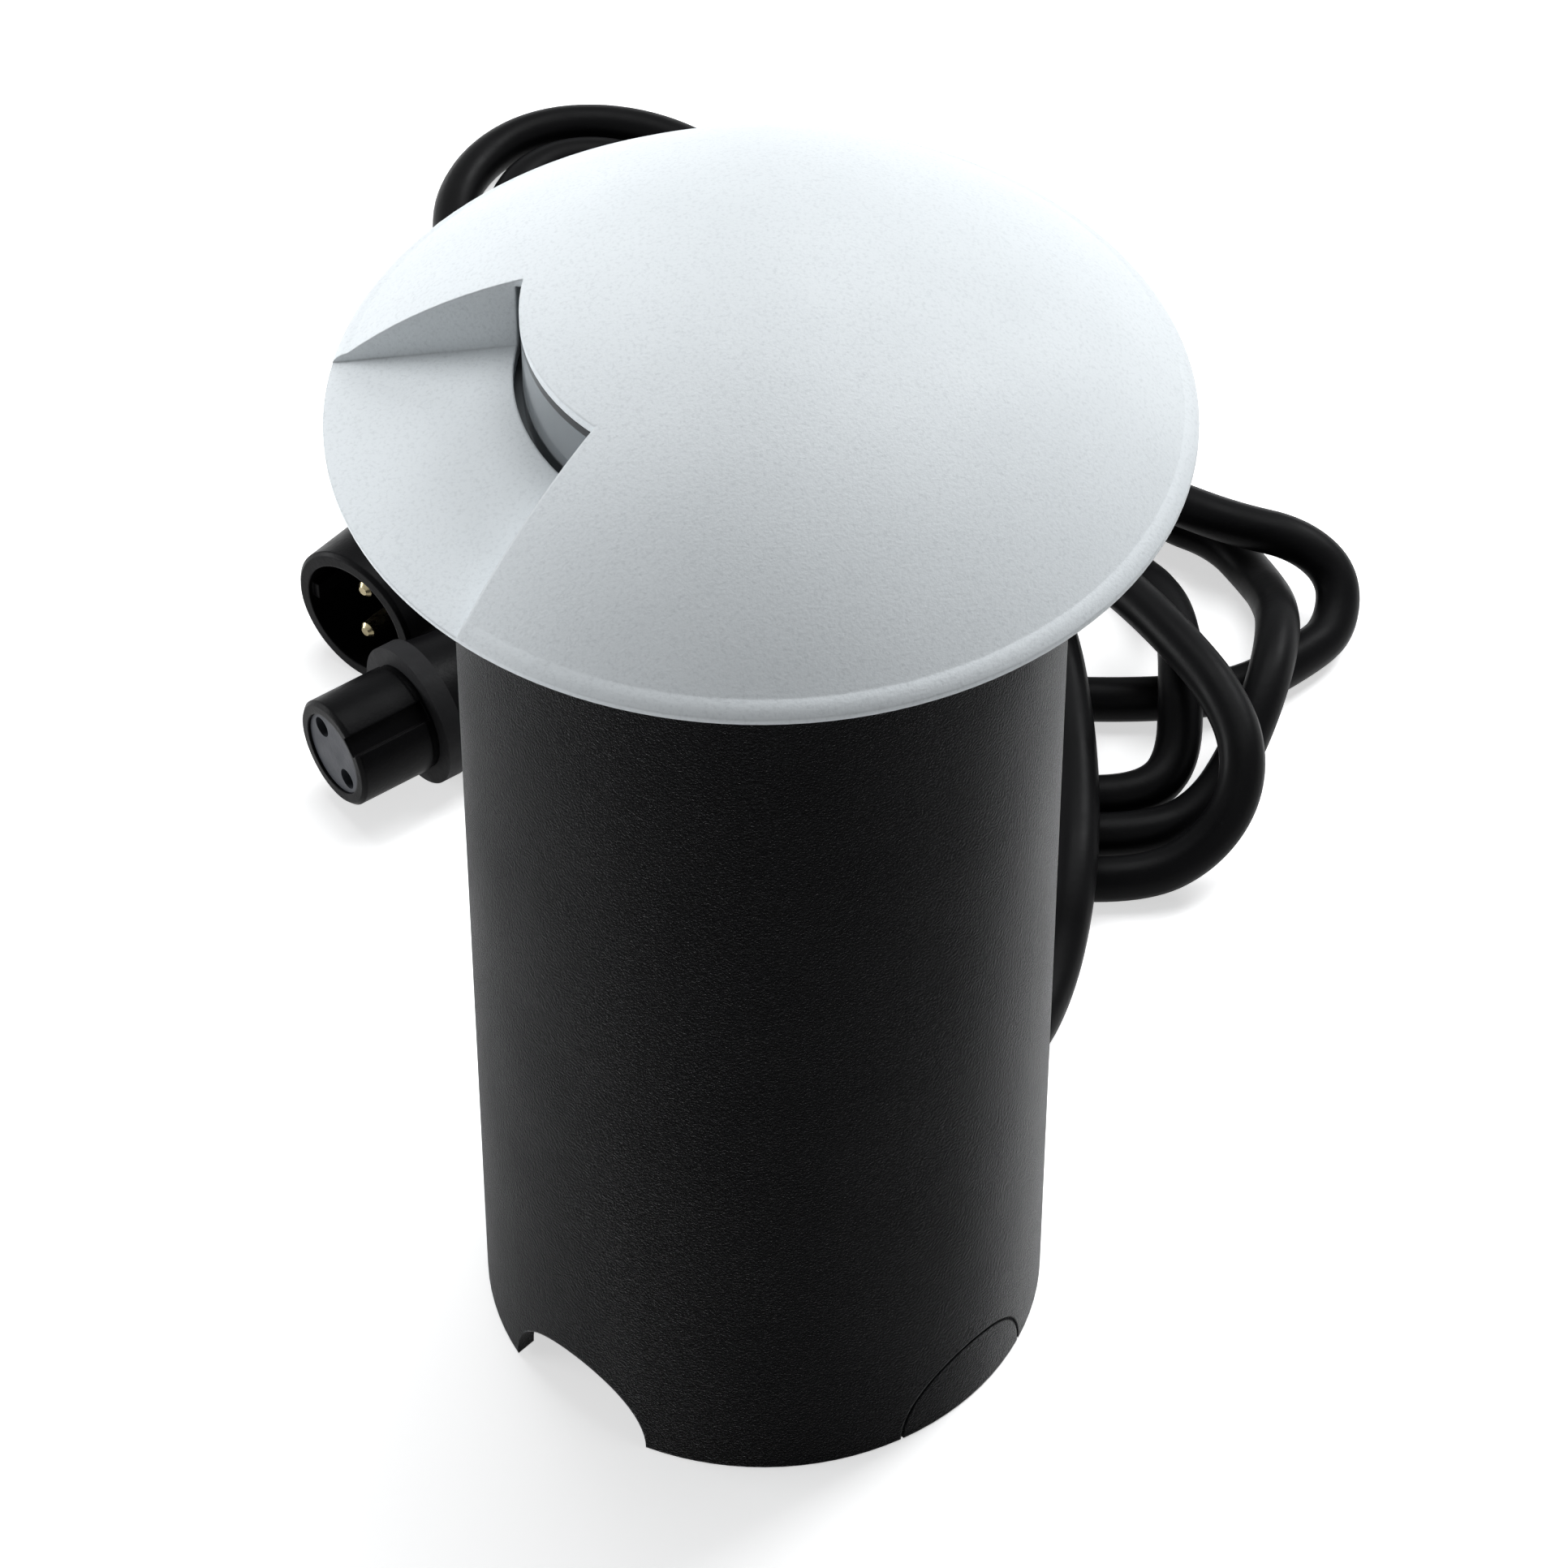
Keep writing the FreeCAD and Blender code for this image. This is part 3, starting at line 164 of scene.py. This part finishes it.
capFinish = {"cloudScale": 38.0, "dark": (0.64, 0.675, 0.695), "light": (0.69, 0.725, 0.745),
             "roughness": (0.56, 0.7), "grainScale": 3600.0, "grainHeight": 0.00007,
             "strength": 0.5, "coarseShare": 0.3, "softEdge": 0.0003, "gloss": 0.3,
             "specks": {"scale": 2900.0, "spread": (0.5, 0.72), "amount": 0.36,
                        "tone": (0.46, 0.49, 0.51)}}
dress(grainedMaterial("capWhite", capFinish), "cap_white", "cap")

sleeveFinish = {"cloudScale": 30.0, "dark": (0.0017, 0.0018, 0.0021),
                "light": (0.0027, 0.0029, 0.0033), "roughness": (0.42, 0.54),
                "grainScale": 4600.0, "grainHeight": 0.00016, "strength": 1.0,
                "coarseShare": 0.25, "softEdge": 0.0003, "gloss": 0.014, "sheen": 0.66,
                "sheenRoughness": 0.21,
                "specks": {"scale": 3600.0, "spread": (0.5, 0.72), "amount": 0.8,
                           "tone": (0.012, 0.0125, 0.0135)}}
dress(grainedMaterial("sleeveBlack", sleeveFinish), "sleeve_black", "mounting_sleeve")

housingFinish = {"cloudScale": 45.0, "dark": (0.012, 0.012, 0.014), "light": (0.02, 0.02, 0.022),
                 "roughness": (0.42, 0.56), "grainScale": 2200.0, "grainHeight": 0.0001,
                 "strength": 0.5, "gloss": 0.15}
dress(grainedMaterial("housingBlack", housingFinish), "housing_black", "lamp_housing",
      "bottom_cover", "driver_retaining_ring", "outlet_gland_body", "outlet_gland_nut",
      "inlet_gland_body", "inlet_gland_nut")

connectorFinish = {"cloudScale": 120.0, "dark": (0.0018, 0.0018, 0.002),
                   "light": (0.0032, 0.0032, 0.0036), "roughness": (0.30, 0.42),
                   "grainScale": 2400.0, "grainHeight": 0.00006, "strength": 0.4,
                   "gloss": 0.04, "softEdge": 0.0003}
dress(grainedMaterial("connectorBlack", connectorFinish), "connector_black", "plug_shell",
      "plug_strain_relief", "socket_shell", "socket_strain_relief")

faceFinish = {"cloudScale": 160.0, "dark": (0.028, 0.030, 0.036), "light": (0.042, 0.044, 0.051),
              "roughness": (0.45, 0.6), "grainScale": 2600.0, "grainHeight": 0.00006,
              "strength": 0.4, "gloss": 0.2}
dress(grainedMaterial("faceGrey", faceFinish), "connector_grey", "socket_insert", "plug_insert")

sealFinish = {"cloudScale": 140.0, "dark": (0.009, 0.009, 0.0095), "light": (0.015, 0.015, 0.016),
              "roughness": (0.5, 0.68), "grainScale": 3000.0, "grainHeight": 0.00006,
              "strength": 0.4, "gloss": 0.08}
dress(grainedMaterial("sealBlack", sealFinish), "seal_black", "socket_seal_ring", "lens_gasket",
      "cap_o_ring", "upper_grip_ring", "lower_grip_ring", "bottom_cover_seal",
      "outlet_gland_seal", "inlet_gland_seal")

cableFinish = {"cloudScale": 70.0, "dark": (0.0018, 0.0018, 0.002),
               "light": (0.0034, 0.0034, 0.0038), "roughness": (0.34, 0.48),
               "grainScale": 1500.0, "grainHeight": 0.00006, "strength": 0.3, "gloss": 0.05}
cableBlack = grainedMaterial("cableBlack", cableFinish)
dress(cableBlack, "cable_black", "outlet_lead_tail", "inlet_lead_tail")
print("plastic and rubber materials made")


brushBase = {"stops": (0.25, 0.75), "markHeight": 0.00003, "metallic": 1.0}


# bare metal with fine level marks, closer together up and down than along
def brushedMaterial(name, ownSettings):
    settings = {**brushBase, **ownSettings}
    material, tree, shader = newMaterial(name)
    marks = addNoise(tree, addPlace(tree), settings["scale"], detail=3.0, roughness=0.6,
                     stretch=settings["stretch"])
    tree.links.new(addRamp(tree, marks, settings), shader.inputs["Base Color"])
    low, high = settings["roughness"]
    tree.links.new(addRange(tree, marks, low, high), shader.inputs["Roughness"])
    addBump(tree, shader, marks, settings["markHeight"], settings["strength"])
    shader.inputs["Metallic"].default_value = settings["metallic"]
    return material


brassFinish = {"scale": 900.0, "stretch": (1.0, 1.0, 4.0), "dark": (0.24, 0.20, 0.12),
               "light": (0.38, 0.33, 0.20), "roughness": (0.22, 0.36), "strength": 0.3}
dress(brushedMaterial("contactBrass", brassFinish), "contact_brass", "plug_pins", "socket_contacts")

steelFinish = {"scale": 700.0, "stretch": (1.0, 1.0, 5.0), "dark": (0.42, 0.42, 0.43),
               "light": (0.62, 0.62, 0.63), "roughness": (0.2, 0.38), "strength": 0.35}
dress(brushedMaterial("screwSteel", steelFinish), "screw_steel", "led_board_screws",
      "cap_retaining_ring", "bottom_cover_screws")

spreaderFinish = {"scale": 420.0, "stretch": (1.0, 1.0, 8.0), "dark": (0.55, 0.56, 0.57),
                  "light": (0.72, 0.73, 0.74), "roughness": (0.28, 0.44), "strength": 0.4}
dress(brushedMaterial("spreaderMetal", spreaderFinish), "spreader_metal", "heat_spreader")

reflectorFinish = {"scale": 260.0, "stretch": (1.0, 1.0, 6.0), "dark": (0.70, 0.71, 0.73),
                   "light": (0.82, 0.83, 0.85), "roughness": (0.12, 0.24), "strength": 0.2}
dress(brushedMaterial("reflectorSilver", reflectorFinish), "reflector_silver", "reflector_cone")


boardBase = {"gapWidth": 0.035, "gapHeight": 0.00004, "gapStrength": -0.4,
             "smudgeScale": 240.0, "roughness": (0.28, 0.45)}


# solder mask over areas of copper with narrow gaps between them
def boardMaterial(name, ownSettings):
    settings = {**boardBase, **ownSettings}
    material, tree, shader = newMaterial(name)
    place = addPlace(tree)
    tracks = tree.nodes.new("ShaderNodeTexBrick")
    tracks.inputs["Scale"].default_value = settings["trackScale"]
    tracks.inputs["Mortar Size"].default_value = settings["gapWidth"]
    tracks.inputs["Color1"].default_value = (*settings["mask"], 1.0)
    tracks.inputs["Color2"].default_value = (*settings["maskLight"], 1.0)
    tracks.inputs["Mortar"].default_value = (*settings["gap"], 1.0)
    tree.links.new(place, tracks.inputs["Vector"])
    tree.links.new(tracks.outputs["Color"], shader.inputs["Base Color"])
    smudge = addNoise(tree, place, settings["smudgeScale"])
    low, high = settings["roughness"]
    tree.links.new(addRange(tree, smudge, low, high), shader.inputs["Roughness"])
    addBump(tree, shader, tracks.outputs["Fac"], settings["gapHeight"], settings["gapStrength"])
    return material


whiteMask = {"trackScale": 160.0, "mask": (0.70, 0.71, 0.70), "maskLight": (0.74, 0.75, 0.74),
             "gap": (0.55, 0.56, 0.56)}
dress(boardMaterial("boardWhite", whiteMask), "board_white", "led_board")

greenMask = {"trackScale": 190.0, "mask": (0.01, 0.10, 0.045), "maskLight": (0.015, 0.13, 0.055),
             "gap": (0.006, 0.06, 0.03)}
dress(boardMaterial("boardGreen", greenMask), "board_green", "driver_board")

phosphorFinish = {"cloudScale": 500.0, "dark": (0.62, 0.44, 0.07), "light": (0.78, 0.60, 0.14),
                  "roughness": (0.35, 0.5), "grainScale": 4000.0, "grainHeight": 0.00005,
                  "strength": 0.4}
dress(grainedMaterial("emitterYellow", phosphorFinish), "emitter_yellow", "led_emitters")

canFinish = {"cloudScale": 200.0, "dark": (0.012, 0.014, 0.03), "light": (0.02, 0.022, 0.045),
             "roughness": (0.22, 0.34), "grainScale": 1400.0, "grainHeight": 0.00003,
             "strength": 0.3}
dress(grainedMaterial("capacitorBlack", canFinish), "capacitor_black", "driver_capacitors")

chipFinish = {"cloudScale": 300.0, "dark": (0.01, 0.01, 0.01), "light": (0.02, 0.02, 0.02),
              "roughness": (0.5, 0.62), "grainScale": 3000.0, "grainHeight": 0.00005,
              "strength": 0.4}
dress(grainedMaterial("chipBlack", chipFinish), "chip_black", "driver_rectifier")


# turns of varnished wire, one above the other, with painted shade in the grooves between turns and
# lighter crests
def windingMaterial(name, settings):
    material, tree, shader = newMaterial(name)
    turns = tree.nodes.new("ShaderNodeTexWave")
    turns.bands_direction = "Z"
    turns.inputs["Scale"].default_value = settings["turnScale"]
    turns.inputs["Distortion"].default_value = settings["distortion"]
    tree.links.new(addPlace(tree), turns.inputs["Vector"])
    # the colour follows the relief: painted shade in the grooves, painted light on the crests
    tree.links.new(addRamp(tree, turns.outputs["Fac"], settings), shader.inputs["Base Color"])
    addBump(tree, shader, turns.outputs["Fac"], settings["turnHeight"], settings["strength"])
    shader.inputs["Roughness"].default_value = settings["roughness"]
    shader.inputs["Metallic"].default_value = settings["metallic"]
    return material


# dark is painted shade in the grooves between turns, light the painted lit crests
copperTurns = {"turnScale": 420.0, "distortion": 0.6, "stops": (0.1, 0.8),
               "dark": (0.10, 0.03, 0.012), "light": (0.42, 0.16, 0.06),
               "turnHeight": 0.0002, "strength": 0.7, "roughness": 0.3, "metallic": 0.6}
dress(windingMaterial("inductorDark", copperTurns), "inductor_dark", "driver_inductor")

wireSurface = {"cloudScale": 200.0, "roughness": (0.25, 0.35), "grainScale": 1800.0,
               "grainHeight": 0.00003, "strength": 0.3}
redFinish = {**wireSurface, "dark": (0.28, 0.012, 0.01), "light": (0.38, 0.02, 0.015)}
dress(grainedMaterial("wireRed", redFinish), "wire_red", "led_wire_positive", "outlet_cores",
      "inlet_cores")
blackFinish = {**wireSurface, "dark": (0.01, 0.01, 0.01), "light": (0.018, 0.018, 0.018)}
dress(grainedMaterial("wireBlack", blackFinish), "wire_black", "led_wire_negative")

# the near-black top band is painted shade: the shadow line under the dome's overhanging lip,
# painted onto the lens
lensFinish = {"tint": (0.34, 0.37, 0.39), "transmission": 0.6, "ior": 1.49,
              "edge": (0.012, 0.012, 0.013), "edgeHeight": 0.0009, "edgeFade": 0.0001,
              "markScale": 140.0, "markStretch": (1.0, 1.0, 0.15), "markHeight": 0.0001,
              "strength": 0.25, "roughness": (0.10, 0.24)}


# clear moulded polycarbonate, a little hazy, with faint upright flow marks and a painted shade band
# along the top edge, where the dome's lip overhangs the lens
def lensMaterial(settings, top):
    material, tree, shader = newMaterial("lensClear")
    place = addPlace(tree)
    parts = tree.nodes.new("ShaderNodeSeparateXYZ")
    tree.links.new(place, parts.inputs["Vector"])
    # painted shade: the top band of the lens turns near black and loses its clearness
    foot = top - settings["edgeHeight"]
    edge = addRange(tree, parts.outputs["Z"], 0.0, 1.0, foot, foot + settings["edgeFade"])
    first, result = addMix(tree, edge, settings["edge"])
    first.default_value = (*settings["tint"], 1.0)
    tree.links.new(result, shader.inputs["Base Color"])
    clearShare = addRange(tree, edge, settings["transmission"], 0.0, 0.0, 1.0)
    tree.links.new(clearShare, shader.inputs["Transmission Weight"])
    shader.inputs["IOR"].default_value = settings["ior"]
    marks = addNoise(tree, place, settings["markScale"], detail=3.0, roughness=0.5,
                     stretch=settings["markStretch"])
    low, high = settings["roughness"]
    tree.links.new(addRange(tree, marks, low, high), shader.inputs["Roughness"])
    addBump(tree, shader, marks, settings["markHeight"], settings["strength"])
    return material


lensTop = max(corner[2] for corner in nodes["clear_lens"].bound_box)
dress(lensMaterial(lensFinish, lensTop), "lens_clear", "clear_lens")
print("metal, board and lens materials made")


# leads: round tubes on smooth lines, whose route points are in millimetres

def makeLead(name, points, settings):
    curve = bpy.data.curves.new(name, "CURVE")
    curve.dimensions = "3D"
    spline = curve.splines.new("NURBS")
    spline.points.add(len(points) - 1)
    for spot, (x, y, z) in zip(spline.points, points):
        spot.co = (x / 1000, y / 1000, z / 1000, 1.0)
    spline.order_u = settings["order"]
    spline.use_endpoint_u = True
    spline.resolution_u = settings["resolution"]
    curve.bevel_depth = settings["diameter"] / 2
    curve.bevel_resolution = settings["roundness"]
    curve.use_fill_caps = True
    curve.materials.append(cableBlack)
    lead = bpy.data.objects.new(name, curve)
    bpy.context.collection.objects.link(lead)
    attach(lead, "sleeve")
    return lead


leadSettings = {"diameter": 0.0048, "order": 3, "resolution": 10, "roundness": 6}
outletRoute = [
    (1.096, -8.096, 34), (1.096, -8.096, 18), (9.5, 3.5, 2.4), (25.2, 22.2, 2.4),
    (29.9, 33.5, 2.4), (32.2, 45, 8.2), (32.6, 62, 7.95), (31.2, 79, 7.95), (27.5, 91.5, 5),
    (17.5, 98.5, 2.4), (7.5, 93.5, 2.4), (5, 80, 2.4), (9.5, 67, 2.4), (20, 60.3, 2.4),
    (30, 59.1, 2.4), (39.7, 59.2, 2.4), (43.6, 63, 3.6), (44, 70.5, 8), (44.2, 77.5, 8.1),
    (42.9, 85.3, 6.4), (39.8, 93, 2.6), (31, 105.5, 2.4), (18.5, 122, 2.4), (5, 140, 2.4),
    (-6.2, 154.4, 2.4), (-15.8, 162.7, 2.4), (-24.4, 162.2, 2.4), (-29.8, 154.6, 2.4),
    (-28.4, 140, 2.4), (-18.5, 124.5, 2.4), (-7.5, 110.5, 2.4), (-1.8, 95, 2.4),
    (-0.8, 78.5, 2.4), (4.5, 62.8, 2.4), (15.5, 54.2, 2.4), (29, 53.7, 2.4), (40.2, 53.7, 2.4),
    (46, 57.2, 2.4), (50.1, 63.8, 4), (53.2, 70.6, 7.8), (54.8, 78.5, 8.1), (54.8, 85.8, 5),
    (53.2, 92.3, 2.5), (49.8, 98.2, 2.4), (43.4, 101.6, 2.4), (36, 111.5, 2.4),
    (24, 128.5, 2.4), (9.5, 147, 2.4), (-2.5, 160, 2.4), (-14.2, 168.6, 2.4),
    (-27.6, 167.9, 2.4), (-35.8, 156.5, 2.4), (-34.2, 140.5, 2.4), (-26.3, 125.5, 2.4),
    (-15, 110.5, 2.4), (-8.5, 95, 2.4), (-7.4, 77, 2.4), (-1.4, 58.8, 2.4), (11.5, 48.6, 2.4),
    (28, 47.6, 2.4), (39.5, 47.3, 2.4), (45.4, 49.3, 4.6), (49.2, 53.2, 8), (49.8, 58.6, 11.2),
    (47.4, 64.8, 13), (43.2, 71.8, 13.4), (38.6, 79.2, 12.9), (32.5, 87, 12.2),
    (25, 92.8, 10.4), (15, 96, 8.2), (5.5, 95.4, 8), (-3.4, 90.3, 8), (-14.3, 82.4, 8),
]
outletLead = makeLead("outletLead", outletRoute, leadSettings)
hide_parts("outlet_cable")

inletRoute = [
    (-8.096, 1.096, 34), (-8.096, 1.096, 18), (2.3, 11.2, 2.4), (16.5, 23, 2.4),
    (19.2, 34.5, 2.4), (17.8, 46, 8.2), (17, 60.5, 8.7), (20.3, 69.6, 5.2), (29, 73.8, 2.4),
    (41, 73.5, 2.4), (50.5, 74.7, 2.4), (57.5, 79.9, 2.4), (61.4, 84, 2.4), (62.1, 89.4, 5.2),
    (57.8, 92.2, 8.1), (50.8, 94.4, 8.2), (43.5, 98.6, 8.1), (35, 103.8, 8.1), (23.5, 110, 7.7),
    (10, 116, 3.4), (0, 120.5, 6.2), (-11, 117.5, 8.3), (-19.7, 107.4, 8.3),
]
inletLead = makeLead("inletLead", inletRoute, leadSettings)
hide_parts("inlet_cable")
print("leads laid")


# stage, light and camera

# 1 for what the camera, a gloss or a clear piece sees, 0 for light on the object
def addSeenRay(tree):
    path = tree.nodes.new("ShaderNodeLightPath")
    total = path.outputs["Is Camera Ray"]
    for name in ("Is Glossy Ray", "Is Transmission Ray"):
        joined = tree.nodes.new("ShaderNodeMath")
        joined.operation = "MAXIMUM"
        tree.links.new(total, joined.inputs[0])
        tree.links.new(path.outputs[name], joined.inputs[1])
        total = joined.outputs["Value"]
    return total


def makeFloor(settings):
    bpy.ops.mesh.primitive_plane_add(size=settings["size"], location=settings["place"])
    floor = bpy.context.object
    floor.name = "floor"
    material, tree, shader = newMaterial("paleFloor")
    shader.inputs["Base Color"].default_value = (*settings["colour"], 1.0)
    shader.inputs["Roughness"].default_value = settings["roughness"]
    shader.inputs["Specular IOR Level"].default_value = settings["gloss"]
    shader.inputs["Emission Color"].default_value = (*settings["liftColour"], 1.0)
    lift = addRange(tree, addSeenRay(tree), 0.0, settings["lift"], start=0.0, end=1.0)
    tree.links.new(lift, shader.inputs["Emission Strength"])
    floor.data.materials.append(material)


# the floor lies just under the pieces that rest on the ground
makeFloor({"size": 8.0, "place": (0, 0, -0.0002), "colour": (0.90, 0.90, 0.90),
           "roughness": 0.9, "gloss": 0.1, "liftColour": (1.0, 1.0, 1.0), "lift": 0.6})


def makeAreaLight(name, settings):
    light = bpy.data.lights.new(name, "AREA")
    light.shape = "RECTANGLE"
    light.size, light.size_y = settings["size"]
    light.energy = settings["power"]
    light.color = settings["colour"]
    lamp = bpy.data.objects.new(name, light)
    bpy.context.collection.objects.link(lamp)
    lamp.location = settings["place"]
    towards = Vector(settings["target"]) - Vector(settings["place"])
    lamp.rotation_euler = towards.to_track_quat("-Z", "Y").to_euler()


# a broad light above, a low strip at the left and a light behind at the right
overheadLight = {"place": (0.1, 0.55, 1.6), "target": (0, 0, 0.08), "size": (1.4, 1.0),
                 "power": 19.5, "colour": (0.98, 0.99, 1.0)}
makeAreaLight("overhead", overheadLight)
leftLight = {"place": (-1.2, 0.16, 0.12), "target": (0, 0, 0.06), "size": (0.8, 0.22),
             "power": 12.0, "colour": (0.98, 0.99, 1.0)}
makeAreaLight("leftSide", leftLight)
rightLight = {"place": (0.85, 0.9, 1.05), "target": (0, 0, 0.06), "size": (0.6, 0.6),
              "power": 15.5, "colour": (0.98, 0.99, 1.0)}
makeAreaLight("rightBack", rightLight)


def makeWorld(settings):
    world = bpy.data.worlds.new("studio")
    bpy.context.scene.world = world
    world.use_nodes = True
    tree = world.node_tree
    background = tree.nodes["Background"]
    background.inputs["Color"].default_value = (*settings["colour"], 1.0)
    seen = addSeenRay(tree)
    brightness = addRange(tree, seen, settings["light"], settings["seen"], start=0.0, end=1.0)
    tree.links.new(brightness, background.inputs["Strength"])


makeWorld({"colour": (0.97, 0.985, 1.0), "light": 0.12, "seen": 0.9})

cameraSettings = {"place": (0.0, -0.4036, 0.4809), "lens": 146.43, "sensorWidth": 36.0,
                  "clipStart": 0.02,
                  "right": (0.99999, -0.00479, 0.00007), "up": (0.00339, 0.71722, 0.69684),
                  "forward": (0.00339, 0.69683, -0.71723)}


def makeCamera(settings):
    data = bpy.data.cameras.new("camera")
    data.lens = settings["lens"]
    data.sensor_width = settings["sensorWidth"]
    data.sensor_fit = "HORIZONTAL"
    data.clip_start = settings["clipStart"]
    camera = bpy.data.objects.new("camera", data)
    bpy.context.collection.objects.link(camera)
    right = Vector(settings["right"])
    up = Vector(settings["up"])
    back = -Vector(settings["forward"])
    turn = Matrix((right, up, back)).transposed()
    camera.matrix_world = Matrix.Translation(settings["place"]) @ turn.to_4x4()
    bpy.context.scene.camera = camera


makeCamera(cameraSettings)
bpy.context.scene.view_settings.view_transform = "Standard"
print("stage, light and camera set")
